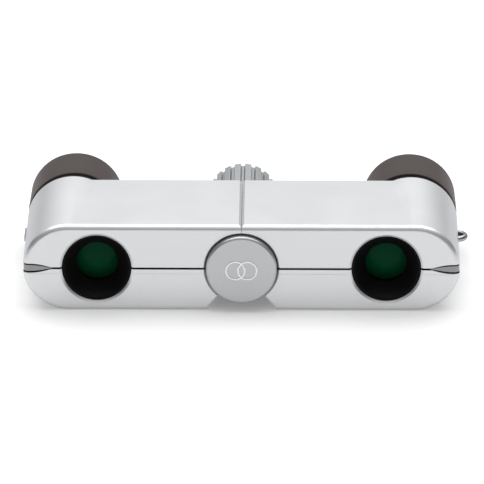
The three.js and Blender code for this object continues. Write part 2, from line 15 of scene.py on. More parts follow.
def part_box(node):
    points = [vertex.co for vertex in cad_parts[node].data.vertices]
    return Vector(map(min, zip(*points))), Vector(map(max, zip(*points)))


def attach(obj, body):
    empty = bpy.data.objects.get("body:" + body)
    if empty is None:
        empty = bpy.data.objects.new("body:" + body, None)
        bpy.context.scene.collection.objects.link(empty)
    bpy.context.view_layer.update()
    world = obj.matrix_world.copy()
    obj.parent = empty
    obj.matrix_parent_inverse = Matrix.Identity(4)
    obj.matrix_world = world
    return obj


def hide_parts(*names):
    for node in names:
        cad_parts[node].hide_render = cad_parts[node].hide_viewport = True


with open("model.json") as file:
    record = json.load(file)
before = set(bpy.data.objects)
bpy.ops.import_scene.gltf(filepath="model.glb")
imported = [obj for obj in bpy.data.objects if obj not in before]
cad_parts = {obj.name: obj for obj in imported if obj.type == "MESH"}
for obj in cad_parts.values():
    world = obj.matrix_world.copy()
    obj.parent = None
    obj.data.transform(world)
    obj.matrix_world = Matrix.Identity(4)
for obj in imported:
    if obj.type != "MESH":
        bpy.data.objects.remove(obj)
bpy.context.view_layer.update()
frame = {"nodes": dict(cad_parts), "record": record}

# %% [markdown]
# ## A workbench frame
# A piece a few millimetres across is awkward to model in metres. So pieces are built in millimetres
# with the hinge axis at x = 0, the front face at y = 0 and the flat underside at z = 0. Only the
# right half is modelled. The left one is its mirror image.

# %% Places read from the frame
MM = 0.001
cap_low, cap_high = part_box("front_cap")
shell_low, shell_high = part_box("right_upper_shell")
ORIGIN = Vector(((cap_low.x + cap_high.x) / 2, shell_low.y, 0.0))


def bench_box(node):
    """A CAD node's lowest and highest corners in the workbench frame."""
    return [(corner - ORIGIN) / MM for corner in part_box(node)]


def middle(node):
    """The x and z of a CAD node's middle in the workbench frame."""
    low, high = bench_box(node)
    return (low.x + high.x) / 2, (low.z + high.z) / 2


HINGE = middle("front_cap")
OBJECTIVE = middle("right_objective_hood")
EYEPIECE = middle("right_eyecup")
shell_low, shell_high = bench_box("right_upper_shell")
DEPTH = shell_high.y
FLAT_TOP = 2 * HINGE[1]
REAR_RADIUS = shell_high.z / 2
STRIP_SETBACK = 0.12
SIDE_REAR = bench_box("right_side_band")[1].x + STRIP_SETBACK
print(f"depth {DEPTH:.1f}, thickness {FLAT_TOP:.1f}, eyepieces {2 * EYEPIECE[0]:.1f} apart")

# %% [markdown]
# ## The camera
# The binoculars stand with their objectives towards the viewer. A long lens from a metre away keeps
# the perspective weak, and the camera looks down by about 22 degrees.

# %% Camera
CAMERA_DISTANCE = 1.1118
CAMERA_DOWN = math.radians(21.6)
CAMERA_TURN = math.radians(-0.5)
CAMERA_LENS = 387.0
CAMERA_AIM = (-0.04, 19.38, 7.90)
NEAREST = 0.01
aim = Vector(CAMERA_AIM) * MM + ORIGIN
away = Vector((math.sin(CAMERA_TURN) * math.cos(CAMERA_DOWN),
               math.cos(CAMERA_TURN) * math.cos(CAMERA_DOWN), -math.sin(CAMERA_DOWN)))
camera_data = bpy.data.cameras.new("camera")
camera_data.lens = CAMERA_LENS
camera_data.clip_start = NEAREST
camera = bpy.data.objects.new("camera", camera_data)
bpy.context.scene.collection.objects.link(camera)
camera.location = aim - away * CAMERA_DISTANCE
camera.rotation_euler = away.to_track_quat("-Z", "Y").to_euler()
bpy.context.scene.camera = camera
print("camera", [round(value, 3) for value in camera.location])

# %% [markdown]
# ## Shader maths as expressions
# A finish is easier to read as a formula than as a list of wires. `Link` wraps one socket, so that
# `0.3 + 0.1 * grain` adds the Math nodes by itself. Any other node comes from `node`.


# %% A socket that does sums
class Link:
    """One output socket of a shader tree."""

    def __init__(self, output):
        self.output = output

    def node(self, kind, settings, sockets, out=0):
        """Adds a node beside this one: its settings first, then its sockets' values or links."""
        tree = self.output.node.id_data
        made = tree.nodes.new(kind)
        for key, value in settings.items():
            if key == "stops":
                fill_ramp(made.color_ramp, value)
            else:
                setattr(made, key, value)
        for key, value in sockets.items():
            if isinstance(value, Link):
                tree.links.new(value.output, made.inputs[key])
            else:
                made.inputs[key].default_value = value
        return Link(made.outputs[out]) if made.outputs else None

    def sum_with(self, operation, first, second):
        return self.node("ShaderNodeMath", {"operation": operation}, {0: first, 1: second})

    def __add__(self, other):
        return self.sum_with("ADD", self, other)

    __radd__ = __add__

    def __mul__(self, other):
        return self.sum_with("MULTIPLY", self, other)

    __rmul__ = __mul__

    def __sub__(self, other):
        return self.sum_with("SUBTRACT", self, other)

    def __rsub__(self, other):
        return self.sum_with("SUBTRACT", other, self)


def fill_ramp(ramp, stops):
    """Gives a colour ramp its stops: (place, grey or colour) pairs."""
    for element, (place, tone) in zip(ramp.elements, stops):
        element.position = place
        element.color = (tone, tone, tone, 1) if isinstance(tone, float) else (*tone, 1)


# %% Start and end of a finish
def new_finish(name):
    """An empty material, and its Object coordinates, from which every pattern here starts."""
    material = bpy.data.materials.new(name)
    material.use_nodes = True
    material.node_tree.nodes.clear()
    coordinates = material.node_tree.nodes.new("ShaderNodeTexCoord")
    return material, Link(coordinates.outputs["Object"])


def close_finish(material, place, **sockets):
    """Ends a finish in a Principled shader. Underscores stand for the spaces in socket names."""
    named = {key.replace("_", " "): value for key, value in sockets.items()}
    shader = place.node("ShaderNodeBsdfPrincipled", {}, named)
    shader.node("ShaderNodeOutputMaterial", {}, {"Surface": shader})
    return material


def noise(place, scale, detail=3.0):
    return place.node("ShaderNodeTexNoise", {}, {"Vector": place, "Scale": scale, "Detail": detail})


def tint(place, amount, dark, light):
    """A colour between dark and light, by amount."""
    return place.node("ShaderNodeMix", {"data_type": "RGBA"},
                      {0: amount, 6: (*dark, 1), 7: (*light, 1)}, out=2)


def bumps(place, height, depth, strength=1.0):
    """A Normal link for a height from 0 to 1 that stands for depth millimetres."""
    return place.node("ShaderNodeBump", {},
                      {"Height": height, "Distance": depth * MM, "Strength": strength})


# %% [markdown]
# ## The finishes
# The halves carry a satin silver paint: fine metal flakes in a clear binder. A flake is about a
# tenth of a millimetre across, so cells that size vary the colour a little, and a slow cloud varies
# the gloss, because sprayed paint is never quite even. The lips that face each other across the
# seam and the strip are painted black: painted shade, standing for the dark inside the gap.

# %% Silver paint
EDGE_TINT = (0.52, 0.53, 0.55, 1)
SEAM_Z = 9.5
SEAM_SHADE_HALF = 1.04
LIP_SLOPE = 0.6
SEAM_SHADE_BLACK = (0.004, 0.004, 0.004)
FLAKE_SCALE = 8500.0


def painted_seam_shade(place):
    """Painted seam shade: one on a lip, which lies flat and close to the seam's height, and nought on the rest.
    """
    normal = Link(place.output.node.outputs["Normal"])
    height = place.node("ShaderNodeSeparateXYZ", {}, {"Vector": place}, out=2)
    slope = normal.node("ShaderNodeSeparateXYZ", {}, {"Vector": normal}, out=2)
    near = place.node("ShaderNodeMath", {"operation": "COMPARE"},
                      {0: height, 1: SEAM_Z * MM, 2: SEAM_SHADE_HALF * MM})
    flat = place.node("ShaderNodeMath", {"operation": "GREATER_THAN"},
                      {0: slope * slope, 1: LIP_SLOPE})
    return near * flat


def silver_paint(name, dark, light, roughness=0.34, metallic=0.75):
    material, place = new_finish(name)
    flakes = place.node("ShaderNodeTexVoronoi", {}, {"Vector": place, "Scale": FLAKE_SCALE})
    cloud = noise(place, 90.0)
    paint = tint(place, 0.25 + 0.35 * cloud + 0.4 * flakes, dark, light)
    # painted shade: the lips in the seam and around the strip turn black, for the dark of the gap
    seam_shaded = place.node("ShaderNodeMix", {"data_type": "RGBA"},
                        {0: painted_seam_shade(place), 6: paint, 7: (*SEAM_SHADE_BLACK, 1)}, out=2)
    return close_finish(
        material, place, Base_Color=seam_shaded,
        Metallic=metallic, Roughness=roughness - 0.04 + 0.08 * cloud,
        Specular_IOR_Level=0.3, Specular_Tint=EDGE_TINT,
        Normal=bumps(place, noise(place, 5200.0, 2.0), 0.004, 0.5))


shell_paint = silver_paint("satin_silver_paint", (0.62, 0.63, 0.64), (0.74, 0.75, 0.76))
cap_paint = silver_paint("cap_silver", (0.43, 0.435, 0.44), (0.53, 0.535, 0.54), 0.32, 0.75)

# %% [markdown]
# Rubber, moulded plastic and anodised metal differ mostly in gloss and grain. One recipe with a
# grain size, a grain depth and a gloss makes all of them, and each keeps its own numbers.

# %% Rubber, plastic and anodised metal
def grained(name, dark, light, roughness, grain, depth, metallic=0.0, shine=0.5):
    material, place = new_finish(name)
    fine = noise(place, grain)
    slow = noise(place, 140.0)
    return close_finish(
        material, place,
        Base_Color=tint(place, 0.5 * slow + 0.5 * fine, dark, light),
        Metallic=metallic, Roughness=roughness - 0.06 + 0.12 * slow, Specular_IOR_Level=shine,
        Normal=bumps(place, fine, depth, 0.6))


eyecup_rubber = grained("eyecup_rubber", (0.044, 0.0345, 0.0325), (0.072, 0.0575, 0.0545),
                        roughness=0.46, grain=4200.0, depth=0.010, shine=0.09)
black_anodised = grained("black_anodised", (0.0015, 0.0014, 0.0013), (0.0045, 0.0042, 0.004),
                         roughness=0.5, grain=6000.0, depth=0.006, shine=0.12)
black_plastic = grained("black_moulded_plastic", (0.012, 0.012, 0.012), (0.030, 0.030, 0.030),
                        roughness=0.6, grain=2500.0, depth=0.012)
strip_grey = grained("strip_grey", (0.29, 0.29, 0.295), (0.37, 0.37, 0.375),
                     roughness=0.42, grain=5200.0, depth=0.004, metallic=0.3)

# %% [markdown]
# Turned metal shows rings where the tool went round. The rings follow the distance from the
# hinge axis, so a Mapping node puts that axis at the middle of the pattern.

# %% Turned and plain metal
RING_SCALE = 900.0


def turned_metal(name, dark, light, roughness):
    material, place = new_finish(name)
    centre = (-(HINGE[0] * MM + ORIGIN.x), 0.0, -HINGE[1] * MM)
    centred = place.node("ShaderNodeMapping", {}, {"Vector": place, "Location": centre})
    rings = place.node("ShaderNodeTexWave", {"wave_type": "RINGS", "rings_direction": "Y"},
                       {"Vector": centred, "Scale": RING_SCALE, "Distortion": 0.6, "Detail": 1.0})
    cloud = noise(place, 400.0)
    return close_finish(
        material, place,
        Base_Color=tint(place, 0.6 * rings + 0.4 * cloud, dark, light),
        Metallic=0.95, Roughness=roughness - 0.05 + 0.1 * cloud, Specular_Tint=EDGE_TINT,
        Normal=bumps(place, rings, 0.002, 0.5))


wheel_metal = turned_metal("wheel_satin_metal", (0.50, 0.515, 0.52), (0.66, 0.675, 0.68), 0.15)
turned_steel = turned_metal("turned_steel", (0.34, 0.34, 0.35), (0.5, 0.5, 0.51), 0.3)
turned_brass = turned_metal("turned_brass", (0.48, 0.34, 0.13), (0.66, 0.5, 0.22), 0.3)
lug_chrome = turned_metal("lug_chrome", (0.30, 0.30, 0.31), (0.40, 0.40, 0.41), 0.12)

# %% [markdown]
# A coated lens over a black tube looks nearly black, with the coating's green in it. Light that
# enters hardly comes back, so a dark base with a clear coat on top does what real glass does here.
# The green is painted a little lighter towards the lower edge: painted light, standing for the tube's mouth
# lighting it.

# %% Glass
SHADED_HALF = 4.2


def coated_glass(name, dark, light):
    material, place = new_finish(name)
    height = place.node("ShaderNodeSeparateXYZ", {}, {"Vector": place}, out=2)
    centre = OBJECTIVE[1] * MM
    # painted light: the glass colour is lighter towards its lower edge
    shade = place.node("ShaderNodeMapRange", {},
                       {"Value": height, "From Min": centre - SHADED_HALF * MM,
                        "From Max": centre + SHADED_HALF * MM, "To Min": 1.0, "To Max": 0.2})
    return close_finish(
        material, place,
        Base_Color=tint(place, shade * (0.85 + 0.15 * noise(place, 300.0)), dark, light),
        Roughness=0.10 + 0.04 * noise(place, 700.0), Specular_IOR_Level=0.03)


lens_glass = coated_glass("green_coated_glass", (0.0010, 0.042, 0.018), (0.0016, 0.085, 0.030))
prism_glass = coated_glass("prism_glass", (0.18, 0.22, 0.21), (0.30, 0.35, 0.34))
print("finishes:", len(bpy.data.materials))

# %% [markdown]
# ## Three ways to make a shape
# Round pieces are spun from a profile, as on a lathe. Straight ones are extruded from an outline.
# Openings are then cut with Boolean modifiers, whose cutters are made the same two ways. A ring
# that the hand would feel gets a bevel.

# %% Lathe, prism and cutter
ROUND_STEPS = 128  # around a large piece
RING_STEPS = 64
SMALL_ROUND_STEPS = 48
RING_SEGMENTS = 5  # across a bevel
CORNER_SEGMENTS = 3
WELD = 1e-4
SEAM_WELD = 1e-5
HAIR = 0.001


def lathe(profile, at=(0.0, 0.0), rounds=(), steps=ROUND_STEPS):
    """Spins (radius, y) points about the line along Y through at. rounds are (radius, y, bevel)."""
    bm = bmesh.new()
    verts = [bm.verts.new((radius, y, 0)) for radius, y in profile]
    around = verts if profile[0][0] == 0 else [*verts, verts[0]]
    edges = [bm.edges.new(pair) for pair in zip(around, around[1:])]
    bmesh.ops.spin(bm, geom=verts + edges, cent=(0, 0, 0), axis=(0, 1, 0), angle=math.tau,
                   steps=steps, use_merge=True)
    bmesh.ops.remove_doubles(bm, verts=bm.verts, dist=WELD)
    bmesh.ops.recalc_face_normals(bm, faces=bm.faces)
    for radius, y, bevel in rounds:
        round_ring(bm, radius, y, bevel)
    bmesh.ops.translate(bm, verts=bm.verts, vec=(at[0], 0, at[1]))
    return bm


def soften(bm, edges, offset, segments):
    """Rounds edges. The round's colour and slot stay those of the faces beside it."""
    bmesh.ops.bevel(bm, geom=edges, offset=offset, offset_type="OFFSET", segments=segments, profile=0.5,
                    affect="EDGES", clamp_overlap=True, material=-1)


def round_ring(bm, radius, y, bevel):
    """Bevels the ring of edges at that radius and y, before the piece leaves the axis."""
    def on_ring(vert):
        off_radius = math.hypot(vert.co.x, vert.co.z) - radius
        return abs(vert.co.y - y) < HAIR and abs(off_radius) < HAIR

    soften(bm, [edge for edge in bm.edges if all(map(on_ring, edge.verts))], bevel, RING_SEGMENTS)


def prism(outline, y_front, y_rear):
    """An outline of (x, z) points, given depth along Y."""
    bm = bmesh.new()
    face = bm.faces.new([bm.verts.new((x, y_front, z)) for x, z in outline])
    made = bmesh.ops.extrude_face_region(bm, geom=[face])
    far_side = [item for item in made["geom"] if isinstance(item, bmesh.types.BMVert)]
    bmesh.ops.translate(bm, verts=far_side, vec=(0, y_rear - y_front, 0))
    bmesh.ops.recalc_face_normals(bm, faces=bm.faces)
    return bm


def block(low, high):
    """A box between two corners."""
    bm = bmesh.new()
    bmesh.ops.create_cube(bm, size=1.0)
    low, high = Vector(low), Vector(high)
    bmesh.ops.scale(bm, vec=high - low, verts=bm.verts)
    bmesh.ops.translate(bm, vec=(low + high) / 2, verts=bm.verts)
    return bm


def on_bench(bm, name):
    """Puts a bmesh into the scene for a moment, so that a modifier can use it."""
    mesh = bpy.data.meshes.new(name)
    bm.to_mesh(mesh)
    bm.free()
    obj = bpy.data.objects.new(name, mesh)
    bpy.context.scene.collection.objects.link(obj)
    return obj


def cut(bm, *cutters, operation="DIFFERENCE"):
    """Cuts, joins or intersects bm with each cutter in turn, and welds the seams after each."""
    for cutter in cutters:
        work, tool = on_bench(bm, "work"), on_bench(cutter, "tool")
        step = work.modifiers.new("cut", "BOOLEAN")
        step.operation = operation
        step.solver = "EXACT"
        step.object = tool
        graph = bpy.context.evaluated_depsgraph_get()
        mesh = bpy.data.meshes.new_from_object(work.evaluated_get(graph))
        bm = bmesh.new()
        bm.from_mesh(mesh)
        for used in (mesh, work.data, tool.data):
            bpy.data.meshes.remove(used)
        bmesh.ops.remove_doubles(bm, verts=bm.verts, dist=SEAM_WELD)
    return bm


# %% [markdown]
# A finished piece is smooth except along its true corners, and large flat faces keep their own
# direction through a Weighted Normal modifier. Without it, the shading of a flat lid would lean
# towards the rounds at its edges.

# %% Finish a piece and hang it on its body
SHARP = math.radians(32)
BROKEN_FROM = math.radians(40)


def piece(name, bm, material, slot, body, *stands_for, mirrored=False, broken_edges=0.0):
    """Moves bm from the workbench to its place, paints it and lets it ride on its body."""
    to_place = Matrix.Translation(ORIGIN) @ Matrix.Diagonal((-MM if mirrored else MM, MM, MM, 1))
    bmesh.ops.transform(bm, matrix=to_place, verts=bm.verts)
    bmesh.ops.recalc_face_normals(bm, faces=bm.faces)
    open_edges = sum(not edge.is_manifold for edge in bm.edges)
    if open_edges:
        print(name, "has", open_edges, "open edges")
    for face in bm.faces:
        face.smooth = True
    for edge in bm.edges:
        edge.smooth = edge.calc_face_angle(0.0) < SHARP
    mesh = bpy.data.meshes.new(name)
    bm.to_mesh(mesh)
    bm.free()
    mesh.materials.append(material)
    obj = bpy.data.objects.new(name, mesh)
    bpy.context.scene.collection.objects.link(obj)
    if broken_edges:
        bevel = obj.modifiers.new("broken edges", "BEVEL")
        bevel.width = broken_edges * MM
        bevel.segments = 2
        bevel.limit_method = "ANGLE"
        bevel.angle_limit = BROKEN_FROM
        bevel.harden_normals = True
    normals = obj.modifiers.new("flat faces stay flat", "WEIGHTED_NORMAL")
    normals.keep_sharp = True
    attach(obj, body)
    if stands_for:
        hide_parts(*stands_for)
    return obj


def both_sides(name, bm, material, slot, body, **finish):
    """Places a right piece and its mirror image in the places of the CAD nodes with that name."""
    piece(f"left_{name}_visual", bm.copy(), material, slot, f"left_{body}", f"left_{name}",
          mirrored=True, **finish)
    piece(f"right_{name}_visual", bm, material, slot, f"right_{body}", f"right_{name}", **finish)


# %% [markdown]
# ## The shells
# Each half is a flat slab with a round end. The end grows a little towards the rear, where it has
# to wrap the eyepiece, so it is a leaning cone that rises above the flat top. The slab is a box and
# the end a cone: both get the front round first, and then they are joined.

# %% The outer form of a half
FRONT_ROUND = 1.15
FRONT_SEGMENTS = 8
LEAST_ROUND = 0.05
SIDE_FRONT = 45.95
WALL = 1.3
FRONT_RADIUS = FLAT_TOP / 2
front_x = SIDE_FRONT - FRONT_RADIUS
rear_x = SIDE_REAR - REAR_RADIUS


def half_form(inset=0.0):
    """A half's outer form, taken in by inset on every side but the middle one."""
    rounding = max(FRONT_ROUND - inset, LEAST_ROUND)
    slab = block((-inset, inset, inset), (front_x, DEPTH - inset, FLAT_TOP - inset))
    front = [edge for edge in slab.edges
             if all(abs(vert.co.y - inset) < WELD for vert in edge.verts)
             and abs(edge.verts[0].co.z - edge.verts[1].co.z) < WELD]
    soften(slab, front, rounding, FRONT_SEGMENTS)
    growth = (REAR_RADIUS - FRONT_RADIUS) / DEPTH
    radius_in = FRONT_RADIUS + growth * inset - inset
    radius_out = FRONT_RADIUS + growth * (DEPTH - inset) - inset
    end = lathe([(0, inset), (radius_in, inset), (radius_out, DEPTH - inset), (0, DEPTH - inset)],
                rounds=[(radius_in, inset, rounding)])
    lean = Matrix.Identity(4)
    lean[0][1] = (rear_x - front_x) / DEPTH
    lean[2][1] = growth
    lean.translation = (front_x, 0, FRONT_RADIUS)
    bmesh.ops.transform(end, matrix=lean, verts=end.verts)
    return cut(slab, end, operation="UNION")


outer = half_form()
hollow = half_form(WALL)
print("form:", len(outer.faces), "faces, hollow:", len(hollow.faces), "faces")

# %% [markdown]
# The two shells of a half meet in a fine dark seam. Past the objective it parts around a grey strip
# that starts as a point and widens towards the side. So the seam is one thin cutter, and the strip
# is another whose outline is a pair of gentle curves.

# %% Seam and strip outlines
SEAM_GAP = 0.44
STRIP_HALF = 0.8
STRIP_TIP = 39.4
STRIP_FULL = 44.6
STRIP_SWELL = 1.15
STRIP_STEPS = 12
FAR = 60.0


def strip_outline(grow):
    """The strip seen from the front: a point at the tip, full height from STRIP_FULL on."""
    half = STRIP_HALF + grow
    upper = []
    for i in range(STRIP_STEPS + 1):
        along = i / STRIP_STEPS
        rise = math.sin(along * math.pi / 2) ** STRIP_SWELL
        upper.append((STRIP_TIP - grow + along * (STRIP_FULL - STRIP_TIP), SEAM_Z + rise * half))
    upper.append((FAR, SEAM_Z + half))
    lower = [(x, 2 * SEAM_Z - z) for x, z in reversed(upper[1:])]
    return upper + lower


# %% [markdown]
# The mouth around each objective has a small bright bevel, and so has the round recess that the
# hinge cap sits in. Both cutters are lathe profiles that flare out at the front. Under the hinge a
# V-shaped notch leaves room for the halves to fold, and its front edges are broken.

# %% Cutters of a half
MOUTH_RADIUS = 7.34
MOUTH_BEVEL = 0.42
MOUTH_BEVEL_DEPTH = 0.30
MOUTH_STEP = (0.7, 0.75)
MOUTH_ROOM = 0.08
MOUTH_DEPTH = 2.4
RECESS_RADIUS = 7.68
RECESS_BEVEL = 0.3
BARREL_HOLE = 8.45
BARREL_HOLE_DEPTH = 3
GROOVE_WIDTH = 0.5
GROOVE_DEPTH = 0.45
HALF_GAP = 0.04
NOTCH_CORNER = (4.54, 3.46)
NOTCH_FOOT = 7.5
NOTCH_BEVEL = 0.6
NOTCH_BEVEL_DEPTH = 0.36
NOTCH_ROUND = 1.6
NOTCH_ROUND_STEPS = 5
PAST = 1  # how far a cutter reaches past the faces it opens


def mouth_cutter():
    flare = MOUTH_RADIUS + MOUTH_BEVEL
    inner = MOUTH_RADIUS + MOUTH_ROOM
    return lathe([(0, -PAST), (flare + PAST, -PAST), (flare, 0), (MOUTH_RADIUS, MOUTH_BEVEL_DEPTH),
                  (MOUTH_RADIUS, MOUTH_STEP[0]), (inner, MOUTH_STEP[1]), (inner, MOUTH_DEPTH),
                  (0, MOUTH_DEPTH)], OBJECTIVE)


def recess_cutter():
    flare = RECESS_RADIUS + RECESS_BEVEL
    return lathe([(0, -PAST), (flare + PAST, -PAST), (flare, 0), (RECESS_RADIUS, RECESS_BEVEL),
                  (RECESS_RADIUS, DEPTH + PAST), (0, DEPTH + PAST)], HINGE)


def barrel_cutter():
    front = DEPTH - BARREL_HOLE_DEPTH
    return lathe([(0, front), (BARREL_HOLE, front), (BARREL_HOLE, DEPTH + PAST), (0, DEPTH + PAST)],
                 EYEPIECE)


def notch_cutter(grow, y_front, y_rear):
    """The notch's prism. Where its slope meets the underside, the corner left on the shell is round."""
    corner_x, corner_z = NOTCH_CORNER[0] + grow, NOTCH_CORNER[1]
    foot_x = NOTCH_FOOT + grow
    slope = math.atan2(corner_z, foot_x - corner_x)
    reach = NOTCH_ROUND * math.tan(slope / 2)
    centre_x = foot_x + reach
    arc = []
    for i in range(NOTCH_ROUND_STEPS + 1):
        angle = slope * i / NOTCH_ROUND_STEPS
        arc.append((centre_x - NOTCH_ROUND * math.sin(angle), NOTCH_ROUND * (1 - math.cos(angle))))
    return prism([(-2 * PAST, -PAST), (centre_x + PAST, -PAST), (centre_x + PAST, -HAIR), *arc,
                  (corner_x, corner_z), (-2 * PAST, corner_z + 2 * PAST)], y_front, y_rear)


def notch_bevel():
    """A notch that is wider at the front face, so that its front edges come out bevelled."""
    bm = notch_cutter(NOTCH_BEVEL * 2, -NOTCH_BEVEL_DEPTH, NOTCH_BEVEL_DEPTH)
    rear = [vert for vert in bm.verts if vert.co.y > 0]
    bmesh.ops.translate(bm, verts=rear, vec=(-NOTCH_BEVEL * 2, 0, 0))
    return bm


# %% [markdown]
# Two small screws hold each lower shell from below. Their heads lie in plain holes with a broken
# edge, so the holes are lathe profiles too, stood upright.

# %% Screw holes
SCREW_HOLE = 1.68
SCREW_HOLE_BEVEL = 0.2
SCREW_NODES = ("right_shell_screw_front", "right_shell_screw_rear")


def stand_up(bm, node):
    """Turns a lathe piece's axis upright and moves it over a CAD node's middle."""
    low, high = bench_box(node)
    bmesh.ops.rotate(bm, matrix=Matrix.Rotation(math.radians(90), 3, "X"), verts=bm.verts)
    bmesh.ops.translate(bm, verts=bm.verts, vec=((low.x + high.x) / 2, (low.y + high.y) / 2, 0))
    return bm


def screw_hole(node):
    flare = SCREW_HOLE + SCREW_HOLE_BEVEL
    profile = [(0, -PAST), (flare + PAST, -PAST), (flare, 0), (SCREW_HOLE, SCREW_HOLE_BEVEL),
               (SCREW_HOLE, WALL + PAST), (0, WALL + PAST)]
    return stand_up(lathe(profile, steps=SMALL_ROUND_STEPS), node)


# %% [markdown]
# Now the shells themselves. The same cuts serve the upper and the lower one, and each then loses
# what lies on the other side of the seam. The upper shell has a chamfer along the middle, half of
# the groove between the two lids. The lower one has the notch, and just below the seam a fine
# stepped line, where its front face was moulded a hair lower.

# %% Upper and lower shells
STEP_LINE = (1.22, 1.08)
STEP_LINE_DEPTH = 0.05
BROKEN = 0.07
THROUGH = (-PAST, DEPTH + PAST)
OUTSIDE = 2 * PAST


def shared_cuts():
    return [hollow.copy(), recess_cutter(), mouth_cutter(), barrel_cutter(),
            prism(strip_outline(SEAM_GAP / 2), *THROUGH),
            block((-OUTSIDE, -PAST, -OUTSIDE), (HALF_GAP, DEPTH + PAST, FAR))]


groove = prism([(HALF_GAP - GROOVE_WIDTH, FLAT_TOP - 2 * GROOVE_DEPTH),
                (HALF_GAP + 2 * GROOVE_WIDTH, FLAT_TOP + GROOVE_DEPTH),
                (HALF_GAP - GROOVE_WIDTH, FLAT_TOP + GROOVE_DEPTH)], *THROUGH)
below_seam = block((-OUTSIDE, -OUTSIDE, -OUTSIDE), (FAR, DEPTH + OUTSIDE, SEAM_Z + SEAM_GAP / 2))
above_seam = block((-OUTSIDE, -OUTSIDE, SEAM_Z - SEAM_GAP / 2), (FAR, DEPTH + OUTSIDE, FAR))
step_line = block((-OUTSIDE, -PAST, SEAM_Z - STEP_LINE[0]), (FAR, STEP_LINE_DEPTH, SEAM_Z - STEP_LINE[1]))

upper_shell = cut(outer.copy(), *shared_cuts(), below_seam, groove)
lower_shell = cut(outer.copy(), *shared_cuts(), above_seam, notch_cutter(0, *THROUGH), notch_bevel(),
                  step_line, *map(screw_hole, SCREW_NODES))
print("upper shell:", len(upper_shell.faces), "faces, lower:", len(lower_shell.faces))
both_sides("upper_shell", upper_shell, shell_paint, "silver_paint", "half", broken_edges=BROKEN)
both_sides("lower_shell", lower_shell, shell_paint, "silver_paint", "half", broken_edges=BROKEN)

# %% [markdown]
# The screws are turned from steel: a cheese head, a shank, and a cross pressed into the head.

# %% Screws
SCREW_HEAD = 1.1
SCREW_ROUND = 0.2
SHANK_SHARE = 0.6
CROSS_ARM = 1.0
CROSS_HALF = 0.2
CROSS_SINK = 0.5
for node in SCREW_NODES:
    low, high = bench_box(node)
    head = (high.x - low.x) / 2
    shank = head * SHANK_SHARE
    under_head = low.z + SCREW_HEAD
    profile = [(0, low.z), (head, low.z), (head, under_head), (shank, under_head), (shank, high.z),
               (0, high.z)]
    screw = stand_up(lathe(profile, rounds=[(head, low.z, SCREW_ROUND)], steps=SMALL_ROUND_STEPS), node)
    place = Vector(((low.x + high.x) / 2, (low.y + high.y) / 2, low.z))
    along, across = Vector((CROSS_ARM, CROSS_HALF, CROSS_SINK)), Vector((CROSS_HALF, CROSS_ARM, CROSS_SINK))
    cross = [block(place - arm, place + arm) for arm in (along, across)]
    both_sides(node.removeprefix("right_"), cut(screw, *cross), turned_steel, "steel", "half")

# %% [markdown]
# ## The side strips
# The strip is the form's own skin, cut to the strip's outline and set back a hair, so that it
# follows the round end all the way to the rear. A shallow pocket takes the foot of the lug.

# %% Side strips
STRIP_ROOM = 0.14
POCKET_ROOM = 0.1
strip = cut(half_form(STRIP_SETBACK), prism(strip_outline(-STRIP_ROOM), *THROUGH), operation="INTERSECT")
lug_low, lug_high = bench_box("right_strap_lug")
pocket_room = Vector((0.0, POCKET_ROOM, POCKET_ROOM))
pocket = block(lug_low - pocket_room, lug_high + pocket_room)
strip = cut(strip, hollow.copy(), mouth_cutter(), barrel_cutter(), pocket)
both_sides("side_band", strip, strip_grey, "grey_trim", "half")

# %% [markdown]
# ## Objectives
# Behind each mouth sits a black funnel with a thin lip. Fine steps inside keep stray light down, and
# the green lens closes it. The lens is its own spun piece: a flat rim and two shallow domes.

# %% Hoods and lenses
hood_low, hood_high = bench_box("right_objective_hood")
HOOD_RADIUS = (hood_high.x - hood_low.x) / 2
HOOD_LIP = 0.4
APERTURE = 4.34
APERTURE_SINK = 1.0
APERTURE_FLARE = 0.4
FUNNEL_STEPS = 3
FUNNEL_START = 0.3
FUNNEL_END = 0.5
FUNNEL_STEP_IN = 0.25
FUNNEL_LEDGE = (0.06, 0.1)
LIP_ROUND = 0.12
LENS_DOME = 0.6
LENS_STEPS = 10


def hood_profile():
    """The funnel from its lip to the aperture, with shallow steps, and the plain outside."""
    front, rear = hood_low.y, hood_high.y
    lip = HOOD_RADIUS - HOOD_LIP
    aperture_y = rear - APERTURE_SINK
    inside = [(lip, front)]
    for step in range(1, FUNNEL_STEPS + 1):
        share = step / FUNNEL_STEPS
        y = front + FUNNEL_START + (aperture_y - FUNNEL_END - front) * share
        radius = lip - FUNNEL_STEP_IN + (APERTURE - lip + FUNNEL_STEP_IN) * share
        inside += [(radius + FUNNEL_LEDGE[0], y - FUNNEL_LEDGE[1]), (radius, y)]
    return [*inside, (APERTURE, aperture_y), (APERTURE + APERTURE_FLARE, rear), (HOOD_RADIUS, rear),
            (HOOD_RADIUS, front)]


def lens_profile(radius, y_front, y_rear, dome):
    """Two shallow domes, which meet the rim at its front and rear."""
    shares = [step / LENS_STEPS for step in range(LENS_STEPS + 1)]
    front = [(radius * share, y_front + dome * share ** 2) for share in shares]
    rear = [(radius * share, y_rear - dome * share ** 2) for share in shares]
    return front + rear[::-1]


hood = lathe(hood_profile(), OBJECTIVE, rounds=[(HOOD_RADIUS - HOOD_LIP, hood_low.y, LIP_ROUND)])
both_sides("objective_hood", hood, black_anodised, "black_metal", "half")
lens_low, lens_high = bench_box("right_objective_lens")
lens_radius = (lens_high.x - lens_low.x) / 2
lens = lathe(lens_profile(lens_radius, lens_low.y, lens_high.y, LENS_DOME), OBJECTIVE)
both_sides("objective_lens", lens, lens_glass, "coated_glass", "objective")

# %% [markdown]
# ## The hinge cap
# A plain turned disc with a rounded edge closes the front of the hinge. Its face carries a small
# mark of two linked rings, the shape of the view through two eyepieces.

